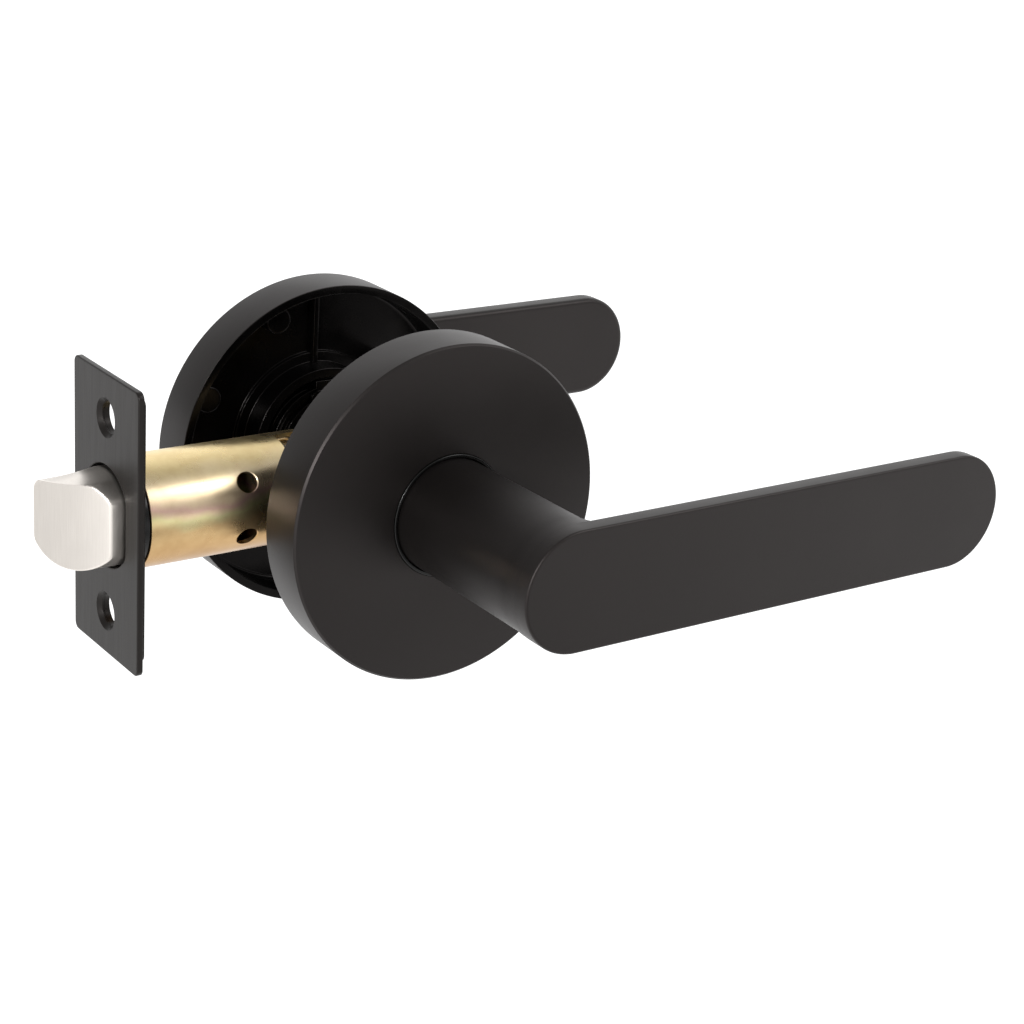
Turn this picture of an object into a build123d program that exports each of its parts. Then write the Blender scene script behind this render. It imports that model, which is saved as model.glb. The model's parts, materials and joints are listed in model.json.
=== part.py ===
"""Lever handle lockset: round-rose levers on a square spindle with a tubular spring latch.

Frame: X runs along the latch, with the faceplate and bolt on -X and the lever tips on +X.
Y runs along the spindle, with the outside trim on -Y and the inside trim on +Y.  Z is up.
The origin is where the spindle axis crosses the latch axis, half way through the door.
All sizes are in millimetres.
"""
import os

from build123d import *

os.makedirs("parts", exist_ok=True)

# ---------------------------------------------------------------- driving dimensions
DOOR_HALF = 17.45          # half of a 34.9 mm door
BACKSET = 60.3             # spindle axis to the front of the faceplate

ROSE_R = 35.0
ROSE_HEIGHT = 10.9
ROSE_WALL = 1.8
ROSE_FACE = 2.0
ROSE_EDGE = 0.5            # broken edge round the front of the rose
HUB_RING_OUTER_R = 16.4
HUB_RING_INNER_R = 14.3
HUB_RING_HEIGHT = 6.0
RIB_WIDTH = 1.3
RIB_HEIGHT = 1.5
STEP_R = 18.6              # low step round the hub ring
STEP_HEIGHT = 0.8
PAD_R = 2.8
PAD_HEIGHT = 5.2
PAD_SPOTS = ((29.9, 112.0), (29.9, 155.0), (29.9, 292.0), (29.9, 335.0))   # radius, angle

NECK_R = 12.0
BLADE_HALF_HEIGHT = 12.25
BLADE_THICK = 4.5
BLADE_TIP = 108.5          # spindle axis to the end of the blade
BLADE_FRONT = {"outside": 72.0, "inside": 61.0}    # mid-door to the front face of a blade
BLADE_FRONT_EDGE = 0.5
BLADE_BACK_EDGE = 1.2
ROOT_FILLET = 5.0          # sweep of the neck into the back of the blade
ROOT_COVER = 1.4           # how far that sweep is sunk into the blade
NECK_SHOULDER = 25.5       # where the neck steps down to its journal
JOURNAL_R = 9.0
JOURNAL_END = 18.1
CIRCLIP_GROOVE_DEPTH = 0.7
SOCKET_DEPTH = 17.0
SET_SCREW_R = 2.0
SET_SCREW_LENGTH = 7.0
SET_SCREW_OFFSET = 32.4    # mid-door to the set screw

RUNNING_FIT = 0.06         # radial gap of a turning fit
BUSH_BARREL_R = 12.75
BUSH_FLANGE_R = 14.1
BUSH_FLANGE = 1.0
BUSH_PROUD = 0.3

SPINDLE_HALF = 3.25
SPINDLE_LENGTH = 66.0

PLATE_HEIGHT = 57.15
PLATE_WIDTH = 28.0
PLATE_CORNER_R = 1.5
BACKING_INSET = 2.0        # how far the backing plate stops short all round
FACEPLATE_THICK = 1.2
BACKING_THICK = 1.3
PLATE_HOLE_SPACING = 39.6
PLATE_HOLE_R = 3.15
PLATE_SINK_R = 3.9
BOLT_CLEARANCE = 0.6

TUBE_R = 11.1
TUBE_WALL = 0.9
COLLAR_R = 10.8
COLLAR_GAP = 0.4
TUBE_FRONT = 56.0          # all latch stations below are distances from the spindle axis
TUBE_REAR_NEAR = 24.0
TUBE_REAR_FAR = 17.2
TUBE_HOLE_R = 2.15
TUBE_HOLE_STATION = 34.7
TUBE_HOLE_ANGLES = (28.0, -33.0)  # below and above mid-height, on the near side

BOLT_R = 9.7
BOLT_FLAT = 8.0            # bolt axis to the flats on its sides
BOLT_PROJECTION = 11.4
BOLT_HEEL = 2.6            # what still stands proud on the low side of the slant
BOLT_CROWN_R = 46.0
BOLT_REAR = 50.0
BOLT_BEVEL_START = 61.0    # the top of the bolt slopes down from here to its front
BOLT_BEVEL_SLOPE = 0.29
TAIL_HALF_THICK = 0.8
TAIL_HALF_HEIGHT = 2.4
TAIL_HEAD_HALF_HEIGHT = 3.5
TAIL_END = 25.8

SEAT_FRONT = 32.5
SEAT_THICK = 1.2
BOLT_SPRING_R = 5.6
BOLT_SPRING_WIRE_R = 0.45

CASE_OUTER = 5.75          # mid-door to the outer face of a case plate
CASE_THICK = 1.2
CASE_NECK = 8.0
CASE_TALL = 13.6
CASE_FRONT = 30.6
CASE_FLARE = 17.0
CASE_REAR = 15.6

HUB_R = 5.8
HUB_HALF_WIDTH = 4.35
HUB_JOURNAL_R = 5.4
HUB_JOURNAL_END = 6.3
ARM_HALF_THICK = 1.5
ARM_REACH = 11.9           # hub axis to the centre of an arm tip
ARM_TIP_R = 1.0
ARM_LEAN = 30.0            # lean of each arm towards the bolt at rest

RETRACTOR_INNER = 2.0
RETRACTOR_OUTER = 3.4
RETRACTOR_PAD_FRONT = 4.6
RETRACTOR_PAD_REAR = 1.6
RETRACTOR_PAD_LOW = 10.3
RETRACTOR_TALL = 12.9
RETRACTOR_WINDOW = 6.1
RETRACTOR_NECK = 7.9
RETRACTOR_FRONT = 30.0
RETRACTOR_BAR = 2.5

RIVET_R = 0.9
RIVET_HEAD_R = 1.7
RIVET_HEAD = 0.6
RIVET_SPOTS = ((-14.2, 4.9), (-14.2, -4.9), (13.2, 5.0), (13.2, -5.0))

POST_SPOTS = ((16.0, 14.8), (-16.0, -14.8))
POST_R = 3.2
POST_TIP = 6.0
SCREW_R = 2.0
SCREW_HEAD_R = 3.9
SCREW_HEAD_HEIGHT = 2.2
SCREW_HEAD_ROUND = 1.5
SCREW_RECESS = 1.4

SIDES = (("outside", -1), ("inside", 1))


# ---------------------------------------------------------------- helpers
def side_plane(side, distance):
    """A plane across the spindle whose normal points away from the door on one side."""
    return Plane(origin=(0, side * distance, 0), x_dir=(1, 0, 0), z_dir=(0, side, 0))


def latch_plane(station):
    """A plane across the latch axis, `station` in front of the spindle, normal towards -X."""
    return Plane(origin=(-station, 0, 0), x_dir=(0, 1, 0), z_dir=(-1, 0, 0))


def save(part, node):
    """Label a finished piece and write its STEP file."""
    part.label = node
    export_step(part, f"parts/{node}.step")


def turned(side, spots):
    """Give (x, z) spots in the local axes of a side plane."""
    return [(x, -side * z) for x, z in spots]


# ---------------------------------------------------------------- roses and what turns in them
def make_rose(name, side):
    """Round cup with a hub ring, two ribs, locating pads and the two fixing points."""
    floor = DOOR_HALF + ROSE_HEIGHT - ROSE_FACE
    with BuildPart() as rose:
        with BuildSketch(side_plane(side, DOOR_HALF)):
            Circle(ROSE_R)
        extrude(amount=ROSE_HEIGHT)
        front = rose.faces().sort_by(Axis.Y)[0 if side < 0 else -1]
        chamfer(front.edges(), ROSE_EDGE)
        with BuildSketch(side_plane(side, DOOR_HALF)):
            Circle(ROSE_R - ROSE_WALL)
        extrude(amount=ROSE_HEIGHT - ROSE_FACE, mode=Mode.SUBTRACT)
        for radius, height in ((HUB_RING_OUTER_R, HUB_RING_HEIGHT), (STEP_R, STEP_HEIGHT)):
            with BuildSketch(side_plane(side, floor)):
                Circle(radius)
                Circle(HUB_RING_INNER_R, mode=Mode.SUBTRACT)
            extrude(amount=-height)
        rib_length = ROSE_R - ROSE_WALL - HUB_RING_OUTER_R + 1.0
        rib_middle = (ROSE_R - ROSE_WALL + HUB_RING_OUTER_R) / 2
        with BuildSketch(side_plane(side, floor)):
            with Locations((0, rib_middle), (0, -rib_middle)):
                Rectangle(RIB_WIDTH, rib_length)
        extrude(amount=-RIB_HEIGHT)
        with BuildSketch(side_plane(side, floor)):
            for radius, angle in PAD_SPOTS:
                with PolarLocations(radius, 1, start_angle=-side * angle):
                    Circle(PAD_R)
        extrude(amount=-PAD_HEIGHT)
        with BuildSketch(side_plane(side, floor)):
            Circle(BUSH_BARREL_R)
        extrude(amount=ROSE_FACE, mode=Mode.SUBTRACT)
        if name == "inside":
            with BuildSketch(side_plane(side, floor)):
                with Locations(*turned(side, POST_SPOTS)):
                    Circle(SCREW_R + 0.3)
            extrude(amount=ROSE_FACE, mode=Mode.SUBTRACT)
    save(rose.part, f"{name}_rose")


def make_bush(name, side):
    """Flanged ring pressed through the rose face for the neck to turn in."""
    floor = DOOR_HALF + ROSE_HEIGHT - ROSE_FACE
    with BuildPart() as bush:
        with BuildSketch(side_plane(side, floor - BUSH_FLANGE)):
            Circle(BUSH_FLANGE_R)
        extrude(amount=BUSH_FLANGE)
        with BuildSketch(side_plane(side, floor)):
            Circle(BUSH_BARREL_R)
        extrude(amount=ROSE_FACE + BUSH_PROUD)
        with BuildSketch(side_plane(side, floor - BUSH_FLANGE)):
            Circle(NECK_R + RUNNING_FIT)
        extrude(amount=BUSH_FLANGE + ROSE_FACE + BUSH_PROUD, mode=Mode.SUBTRACT)
    save(bush.part, f"{name}_bush")


def make_ring(node, side, near, far, inner, outer):
    """Plain ring between two distances from mid-door."""
    with BuildPart() as ring:
        with BuildSketch(side_plane(side, near)):
            Circle(outer)
            Circle(inner, mode=Mode.SUBTRACT)
        extrude(amount=far - near)
    save(ring.part, node)


def make_driver_plate(name, side):
    """Disc keyed to the journal, with two ears that wind up the return spring."""
    with BuildPart() as plate:
        with BuildSketch(side_plane(side, 19.9)):
            Circle(12.6)
            with Locations((0, 12.2), (0, -12.2)):
                Rectangle(5.0, 3.4)
            Circle(JOURNAL_R, mode=Mode.SUBTRACT)
        extrude(amount=1.2)
    save(plate.part, f"{name}_driver_plate")


def make_circlip(name, side):
    """Open retaining ring seated in the journal groove, with two lugs at its gap."""
    inner = JOURNAL_R - CIRCLIP_GROOVE_DEPTH
    with BuildPart() as clip:
        with BuildSketch(side_plane(side, 18.5)):
            Circle(10.9)
            with Locations((-2.6, -side * 10.6), (2.6, -side * 10.6)):
                Circle(1.7)
            Circle(inner, mode=Mode.SUBTRACT)
            with Locations((0, -side * 10.5)):
                Rectangle(2.6, 7.0, mode=Mode.SUBTRACT)
            with Locations((-2.6, -side * 10.6), (2.6, -side * 10.6)):
                Circle(0.6, mode=Mode.SUBTRACT)
        extrude(amount=0.8)
    save(clip.part, f"{name}_circlip")


def make_return_spring(name, side):
    """Torsion spring coiled round the journal inside the hub ring."""
    radius = 11.6
    wire = 0.45
    height = 2.2
    coil = Helix(pitch=1.1, height=height, radius=radius)
    with BuildPart() as spring:
        with BuildSketch(Plane(origin=coil @ 0, z_dir=coil % 0)):
            Circle(wire)
        sweep(path=coil, is_frenet=True)
    placed = spring.part.rotate(Axis.X, 90 if side < 0 else -90)
    placed = placed.translate((0, side * 21.75, 0))
    save(placed, f"{name}_return_spring")


def make_lever(name, side):
    """Straight pill-shaped blade on a round neck, with journal and square socket."""
    blade_back = BLADE_FRONT[name] - BLADE_THICK
    middle = (BLADE_TIP - BLADE_HALF_HEIGHT) / 2
    with BuildPart() as root:
        with BuildSketch(Plane.XY):
            with BuildLine():
                low = (NECK_R - 0.5, side * (blade_back + ROOT_COVER))
                outer = (NECK_R + ROOT_FILLET, side * (blade_back + ROOT_COVER))
                edge = (NECK_R + ROOT_FILLET, side * blade_back)
                tip = (NECK_R, side * (blade_back - ROOT_FILLET))
                inner = (NECK_R - 0.5, side * (blade_back - ROOT_FILLET))
                knee = 0.2929 * ROOT_FILLET
                bend = (NECK_R + knee, side * (blade_back - knee))
                Polyline(tip, inner, low, outer, edge)
                ThreePointArc(edge, bend, tip)
            make_face()
        revolve(axis=Axis.Y)
        with BuildSketch(side_plane(side, blade_back - ROOT_FILLET)):
            with Locations((middle, 0)):
                SlotCenterToCenter(BLADE_TIP - BLADE_HALF_HEIGHT, 2 * BLADE_HALF_HEIGHT)
        extrude(amount=ROOT_FILLET + ROOT_COVER, mode=Mode.INTERSECT)
    with BuildPart() as lever:
        with BuildSketch(side_plane(side, blade_back)):
            with Locations((middle, 0)):
                SlotCenterToCenter(BLADE_TIP - BLADE_HALF_HEIGHT, 2 * BLADE_HALF_HEIGHT)
        extrude(amount=BLADE_THICK)
        ends = lever.faces().filter_by(Axis.Y).sort_by(Axis.Y)
        front, back = (ends[0], ends[-1]) if side < 0 else (ends[-1], ends[0])
        fillet(front.edges(), BLADE_FRONT_EDGE)
        back = lever.faces().filter_by(Axis.Y).sort_by(Axis.Y)[-1 if side < 0 else 0]
        fillet(back.edges(), BLADE_BACK_EDGE)
        with BuildSketch(side_plane(side, NECK_SHOULDER)):
            Circle(NECK_R)
        extrude(amount=blade_back + 1.0 - NECK_SHOULDER)
        add(root.part)
        with BuildSketch(side_plane(side, JOURNAL_END)):
            Circle(JOURNAL_R)
        extrude(amount=NECK_SHOULDER - JOURNAL_END)
        with BuildSketch(side_plane(side, 18.5)):
            Circle(JOURNAL_R + 1.0)
            Circle(JOURNAL_R - CIRCLIP_GROOVE_DEPTH, mode=Mode.SUBTRACT)
        extrude(amount=0.8, mode=Mode.SUBTRACT)
        socket = 2 * (SPINDLE_HALF + RUNNING_FIT)
        with BuildSketch(side_plane(side, JOURNAL_END)):
            Rectangle(socket, socket)
        extrude(amount=SOCKET_DEPTH, mode=Mode.SUBTRACT)
        with BuildSketch(Plane(origin=(0, side * SET_SCREW_OFFSET, 0), z_dir=(0, 0, -1))):
            Circle(SET_SCREW_R)
        extrude(amount=NECK_R + 1.0, mode=Mode.SUBTRACT)
    save(lever.part, f"{name}_lever")


def make_set_screw(name, side):
    """Headless screw that clamps the lever on the spindle, with a hexagon recess."""
    top = SPINDLE_HALF + RUNNING_FIT
    with BuildPart() as screw:
        with BuildSketch(Plane(origin=(0, side * SET_SCREW_OFFSET, -top), z_dir=(0, 0, -1))):
            Circle(SET_SCREW_R)
        extrude(amount=SET_SCREW_LENGTH)
        base = -top - SET_SCREW_LENGTH
        with BuildSketch(Plane(origin=(0, side * SET_SCREW_OFFSET, base), z_dir=(0, 0, 1))):
            RegularPolygon(1.1, 6)
        extrude(amount=2.0, mode=Mode.SUBTRACT)
    save(screw.part, f"{name}_set_screw")


for name, side in SIDES:
    make_rose(name, side)
    make_bush(name, side)
    make_ring(f"{name}_thrust_washer", side, 24.65, 25.3, JOURNAL_R + 0.3, 14.0)
    make_return_spring(name, side)
    make_driver_plate(name, side)
    make_ring(f"{name}_wave_washer", side, 19.35, 19.85, JOURNAL_R, 12.0)
    make_circlip(name, side)
    make_lever(name, side)
    make_set_screw(name, side)


# ---------------------------------------------------------------- fixings between the roses
rose_floor = DOOR_HALF + ROSE_HEIGHT - ROSE_FACE
post_root = side_plane(-1, rose_floor)
post_length = rose_floor + POST_TIP
screw_seat = rose_floor + ROSE_FACE
screw_tip = -4.0

with BuildPart() as rose_posts:
    with BuildSketch(post_root):
        with Locations(*turned(-1, POST_SPOTS)):
            Circle(POST_R)
    extrude(amount=-post_length)
    with BuildSketch(side_plane(1, POST_TIP)):
        with Locations(*turned(1, POST_SPOTS)):
            Circle(SCREW_R)
    extrude(amount=-(POST_TIP - screw_tip + 2.0), mode=Mode.SUBTRACT)
save(rose_posts.part, "rose_posts")

with BuildPart() as rose_screws:
    with BuildSketch(side_plane(1, screw_seat)):
        with Locations(*turned(1, POST_SPOTS)):
            Circle(SCREW_HEAD_R)
    extrude(amount=SCREW_HEAD_HEIGHT)
    crowns = rose_screws.faces().filter_by(Axis.Y).sort_by(Axis.Y)[-2:]
    fillet([edge for crown in crowns for edge in crown.edges()], SCREW_HEAD_ROUND)
    with BuildSketch(side_plane(1, screw_tip)):
        with Locations(*turned(1, POST_SPOTS)):
            Circle(SCREW_R)
    extrude(amount=screw_seat - screw_tip + 0.2)
    with BuildSketch(side_plane(1, screw_seat + SCREW_HEAD_HEIGHT)):
        with Locations(*turned(1, POST_SPOTS)):
            Rectangle(4.2, 0.9)
            Rectangle(0.9, 4.2)
    extrude(amount=-SCREW_RECESS, mode=Mode.SUBTRACT)
save(rose_screws.part, "rose_screws")


# ---------------------------------------------------------------- spindle and latch hub
with BuildPart() as spindle:
    Box(2 * SPINDLE_HALF, SPINDLE_LENGTH, 2 * SPINDLE_HALF)
    chamfer(spindle.edges().filter_by(Axis.Y), 0.4)
save(spindle.part, "spindle")

with BuildPart() as latch_hub:
    with BuildSketch(side_plane(1, -HUB_HALF_WIDTH)):
        Circle(HUB_R)
    extrude(amount=2 * HUB_HALF_WIDTH)
    with BuildSketch(side_plane(1, -HUB_JOURNAL_END)):
        Circle(HUB_JOURNAL_R)
    extrude(amount=2 * HUB_JOURNAL_END)
    with BuildSketch(side_plane(1, -ARM_HALF_THICK)):
        for lean in (270 - ARM_LEAN, 90 + ARM_LEAN):
            with Locations(Location((0, 0), lean)):
                SlotCenterPoint((ARM_REACH / 2, 0), (ARM_REACH, 0), 2 * ARM_TIP_R)
    extrude(amount=2 * ARM_HALF_THICK)
    with BuildSketch(side_plane(1, -HUB_JOURNAL_END)):
        Rectangle(2 * SPINDLE_HALF, 2 * SPINDLE_HALF)
    extrude(amount=2 * HUB_JOURNAL_END, mode=Mode.SUBTRACT)
save(latch_hub.part, "latch_hub")


# ---------------------------------------------------------------- latch: plates and tube
def bolt_outline(grow):
    """Round bolt section with a flat on each side, made larger by `grow`."""
    Circle(BOLT_R + grow)
    Rectangle(2 * (BOLT_FLAT + grow), 2 * (BOLT_R + grow), mode=Mode.INTERSECT)


def make_plate(node, front, thick, inset, sink):
    """Rounded rectangle with two screw holes and the bolt opening."""
    width = PLATE_WIDTH - 2 * inset
    height = PLATE_HEIGHT - 2 * inset
    with BuildPart() as plate:
        with BuildSketch(latch_plane(front - thick)):
            RectangleRounded(width, height, PLATE_CORNER_R)
        extrude(amount=thick)
        with BuildSketch(latch_plane(front - thick)):
            bolt_outline(BOLT_CLEARANCE)
        extrude(amount=thick, mode=Mode.SUBTRACT)
        with Locations(latch_plane(front)):
            with Locations((0, PLATE_HOLE_SPACING / 2), (0, -PLATE_HOLE_SPACING / 2)):
                if sink:
                    CounterSinkHole(PLATE_HOLE_R, PLATE_SINK_R, counter_sink_angle=90)
                else:
                    Hole(PLATE_HOLE_R + 0.2)
        if sink:
            face = plate.faces().filter_by(Axis.X).sort_by(Axis.X)[0]
            chamfer(face.outer_wire().edges(), 0.25)
    save(plate.part, node)


make_plate("faceplate", BACKSET, FACEPLATE_THICK, 0, True)
make_plate("backing_plate", BACKSET - FACEPLATE_THICK, BACKING_THICK, BACKING_INSET, False)

collar_front = BACKSET - FACEPLATE_THICK - BACKING_THICK
with BuildPart() as tube_collar:
    with BuildSketch(latch_plane(TUBE_FRONT)):
        Circle(COLLAR_R)
        Circle(BOLT_R + COLLAR_GAP, mode=Mode.SUBTRACT)
    extrude(amount=collar_front - TUBE_FRONT)
save(tube_collar.part, "tube_collar")

with BuildPart() as latch_tube:
    with BuildSketch(latch_plane(TUBE_REAR_NEAR)):
        Circle(TUBE_R)
        Circle(TUBE_R - TUBE_WALL, mode=Mode.SUBTRACT)
    extrude(amount=TUBE_FRONT - TUBE_REAR_NEAR)
    with BuildSketch(latch_plane(TUBE_REAR_FAR)):
        Circle(TUBE_R)
        Circle(TUBE_R - TUBE_WALL, mode=Mode.SUBTRACT)
        with Locations((-TUBE_R + 0.5, 0)):
            Rectangle(2 * TUBE_R, 3 * TUBE_R, mode=Mode.SUBTRACT)
    extrude(amount=TUBE_REAR_NEAR - TUBE_REAR_FAR)
    for tilt in TUBE_HOLE_ANGLES:
        drill = Plane(origin=(-TUBE_HOLE_STATION, 0, 0), x_dir=(1, 0, 0), z_dir=(0, -1, 0))
        with BuildSketch(drill.rotated((tilt, 0, 0))):
            Circle(TUBE_HOLE_R)
        extrude(amount=TUBE_R + 2.0, mode=Mode.SUBTRACT)
save(latch_tube.part, "latch_tube")


# ---------------------------------------------------------------- latch: case round the hub
def make_case_plate(node, side):
    """Side plate of the latch case, narrow in the tube and flared round the hub."""
    with BuildPart() as plate:
        with BuildSketch(side_plane(side, CASE_OUTER - CASE_THICK)):
            with BuildLine():
                flare = CASE_TALL - CASE_NECK
                upper = [
                    (-CASE_FRONT, CASE_NECK),
                    (-CASE_FLARE, CASE_NECK),
                    (-CASE_FLARE + flare, CASE_TALL),
                    (CASE_REAR - 4.6, CASE_TALL),
                    (CASE_REAR, CASE_TALL - 4.6),
                ]
                lower = [(x, -z) for x, z in reversed(upper)]
                Polyline(*upper, *lower, close=True)
            make_face()
            Circle(HUB_JOURNAL_R + RUNNING_FIT, mode=Mode.SUBTRACT)
            with Locations(*turned(side, RIVET_SPOTS)):
                Circle(RIVET_R, mode=Mode.SUBTRACT)
        extrude(amount=CASE_THICK)
    save(plate.part, node)


make_case_plate("case_plate_outside", -1)
make_case_plate("case_plate_inside", 1)

with BuildPart() as case_rivets:
    with BuildSketch(side_plane(1, -CASE_OUTER)):
        with Locations(*turned(1, RIVET_SPOTS)):
            Circle(RIVET_R)
    extrude(amount=2 * CASE_OUTER)
    for side in (-1, 1):
        with BuildSketch(side_plane(side, CASE_OUTER)):
            with Locations(*turned(side, RIVET_SPOTS)):
                Circle(RIVET_HEAD_R)
        extrude(amount=RIVET_HEAD)
    with BuildSketch(side_plane(1, -(CASE_OUTER - CASE_THICK))):
        with Locations(*turned(1, RIVET_SPOTS)):
            Circle(RIVET_R + 0.15)
    extrude(amount=2 * (CASE_OUTER - CASE_THICK))
save(case_rivets.part, "case_rivets")

with BuildPart() as spring_seat:
    with BuildSketch(latch_plane(SEAT_FRONT - SEAT_THICK)):
        Circle(TUBE_R - TUBE_WALL)
        Rectangle(3.0, 6.4, mode=Mode.SUBTRACT)
    extrude(amount=SEAT_THICK)
save(spring_seat.part, "spring_seat")


# ---------------------------------------------------------------- latch: what slides
with BuildPart() as retractor:
    for side in (-1, 1):
        with BuildSketch(side_plane(side, RETRACTOR_INNER)):
            with BuildLine():
                upper = [
                    (-RETRACTOR_FRONT, RETRACTOR_NECK),
                    (-13.0, RETRACTOR_NECK),
                    (-8.0, RETRACTOR_TALL),
                    (-RETRACTOR_PAD_REAR, RETRACTOR_TALL),
                    (-RETRACTOR_PAD_REAR, RETRACTOR_WINDOW),
                ]
                window = [
                    (-RETRACTOR_FRONT + RETRACTOR_BAR, RETRACTOR_WINDOW),
                    (-RETRACTOR_FRONT + RETRACTOR_BAR, -RETRACTOR_WINDOW),
                ]
                lower = [(x, -z) for x, z in reversed(upper)]
                Polyline(*upper, *window, *lower, close=True)
            make_face()
        extrude(amount=RETRACTOR_OUTER - RETRACTOR_INNER)
    with BuildSketch(side_plane(1, -RETRACTOR_INNER)):
        pad_middle = (RETRACTOR_TALL + RETRACTOR_PAD_LOW) / 2
        pad_x = -(RETRACTOR_PAD_FRONT + RETRACTOR_PAD_REAR) / 2
        with Locations((pad_x, pad_middle), (pad_x, -pad_middle)):
            Rectangle(RETRACTOR_PAD_FRONT - RETRACTOR_PAD_REAR, RETRACTOR_TALL - RETRACTOR_PAD_LOW)
    extrude(amount=2 * RETRACTOR_INNER)
    with BuildSketch(latch_plane(RETRACTOR_FRONT - RETRACTOR_BAR)):
        Rectangle(2 * RETRACTOR_OUTER, 2 * RETRACTOR_NECK)
        Rectangle(2 * (TAIL_HALF_THICK + 0.3), 2 * (TAIL_HALF_HEIGHT + 0.3), mode=Mode.SUBTRACT)
    extrude(amount=RETRACTOR_BAR)
save(retractor.part, "retractor")

with BuildPart() as bolt:
    with BuildSketch(latch_plane(BOLT_REAR)):
        bolt_outline(0)
    extrude(amount=BACKSET + BOLT_PROJECTION - BOLT_REAR)
    tip = BACKSET + BOLT_PROJECTION
    heel = BACKSET + BOLT_HEEL
    with BuildSketch(Plane.XY.offset(-BOLT_R - 1.0)):
        with BuildLine():
            start = (-tip, BOLT_FLAT)
            end = (-heel, -BOLT_FLAT)
            crown = -BOLT_CROWN_R
            RadiusArc(start, end, crown)
            Polyline(end, (-heel, -BOLT_R - 2.0), (-tip - 2.0, -BOLT_R - 2.0), (-tip - 2.0, BOLT_FLAT), start)
        make_face()
    extrude(amount=2 * BOLT_R + 2.0, mode=Mode.SUBTRACT)
    with BuildSketch(Plane.XZ):
        with BuildLine():
            beyond = tip + 1.0
            dropped = BOLT_R - BOLT_BEVEL_SLOPE * (beyond - BOLT_BEVEL_START)
            over = BOLT_R + 1.0
            bevel = [(-BOLT_BEVEL_START, BOLT_R), (-beyond, dropped), (-beyond, over)]
            Polyline(*bevel, (-BOLT_BEVEL_START, over), close=True)
        make_face()
    extrude(amount=BOLT_R, both=True, mode=Mode.SUBTRACT)
save(bolt.part, "bolt")

with BuildPart() as bolt_tail:
    Box(
        BOLT_REAR - TAIL_END - 1.5,
        2 * TAIL_HALF_THICK,
        2 * TAIL_HALF_HEIGHT,
        align=(Align.MIN, Align.CENTER, Align.CENTER),
    )
    with Locations((BOLT_REAR - TAIL_END - 1.5, 0, 0)):
        Box(
            1.5,
            2 * TAIL_HALF_THICK,
            2 * TAIL_HEAD_HALF_HEIGHT,
            align=(Align.MIN, Align.CENTER, Align.CENTER),
        )
save(bolt_tail.part.translate((-BOLT_REAR, 0, 0)), "bolt_tail")

spring_length = BOLT_REAR - SEAT_FRONT
spring_coils = 5.5
free_height = spring_length - 2 * BOLT_SPRING_WIRE_R - 0.1
coil = Helix(pitch=free_height / spring_coils, height=free_height, radius=BOLT_SPRING_R)
with BuildPart() as bolt_spring:
    with BuildSketch(Plane(origin=coil @ 0, z_dir=coil % 0)):
        Circle(BOLT_SPRING_WIRE_R)
    sweep(path=coil, is_frenet=True)
placed_spring = bolt_spring.part.rotate(Axis.Y, 90)
placed_spring = placed_spring.translate((-BOLT_REAR + BOLT_SPRING_WIRE_R + 0.05, 0, 0))
save(placed_spring, "bolt_spring")
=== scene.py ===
# %% [markdown]
# # A lever handle lockset
# A door lever set laid out as it would sit in a door, but with no door: two straight levers on
# round roses, a square spindle between them, and a spring latch whose bolt comes out of a
# black plate.  The packed CAD model is the frame: it says where every piece is and how it
# moves.  Blender only gives the pieces their finished surfaces and their materials.

import json
import math

import bmesh
import bpy
import numpy as np
from mathutils import Matrix, Vector


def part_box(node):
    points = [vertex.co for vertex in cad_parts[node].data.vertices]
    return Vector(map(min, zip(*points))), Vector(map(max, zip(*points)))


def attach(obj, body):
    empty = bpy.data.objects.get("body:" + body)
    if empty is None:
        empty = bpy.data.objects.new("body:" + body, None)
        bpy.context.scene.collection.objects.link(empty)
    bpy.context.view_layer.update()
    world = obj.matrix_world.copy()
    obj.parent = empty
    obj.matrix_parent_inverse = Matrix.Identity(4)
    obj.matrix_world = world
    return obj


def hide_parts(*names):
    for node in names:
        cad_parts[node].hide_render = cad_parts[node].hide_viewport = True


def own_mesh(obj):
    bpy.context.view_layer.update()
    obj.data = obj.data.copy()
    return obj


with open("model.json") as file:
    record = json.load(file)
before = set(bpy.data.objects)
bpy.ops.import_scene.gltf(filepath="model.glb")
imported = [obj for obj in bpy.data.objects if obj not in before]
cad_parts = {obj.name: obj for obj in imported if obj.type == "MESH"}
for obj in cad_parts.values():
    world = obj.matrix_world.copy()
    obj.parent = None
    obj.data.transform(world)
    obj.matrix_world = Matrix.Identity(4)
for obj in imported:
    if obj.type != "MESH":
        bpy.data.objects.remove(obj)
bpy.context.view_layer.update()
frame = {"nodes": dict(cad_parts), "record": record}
MM = 0.001

# %% [markdown]
# ## Surfaces as grids
# Every new piece is a grid of points, worked out in one go with numpy: rows go along a
# profile, columns go round it.  Joining each point to its neighbours gives the quads.  A grid
# that closes on itself both ways has no seam to show, and a row that shrinks to a point or a
# line closes an end.  The same few helpers then serve every piece.

# %% Grid helpers
def grid_quads(rows, columns, loop_rows=False):
    """Quads between neighbours of a grid whose columns close in a ring, and rows if asked."""
    i, j = np.meshgrid(
        np.arange(rows if loop_rows else rows - 1),
        np.arange(columns),
        indexing="ij",
    )
    below, beside = (i + 1) % rows, (j + 1) % columns
    corners = (i * columns + j, below * columns + j, below * columns + beside, i * columns + beside)
    return np.stack(corners, -1).reshape(-1, 4)


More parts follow.
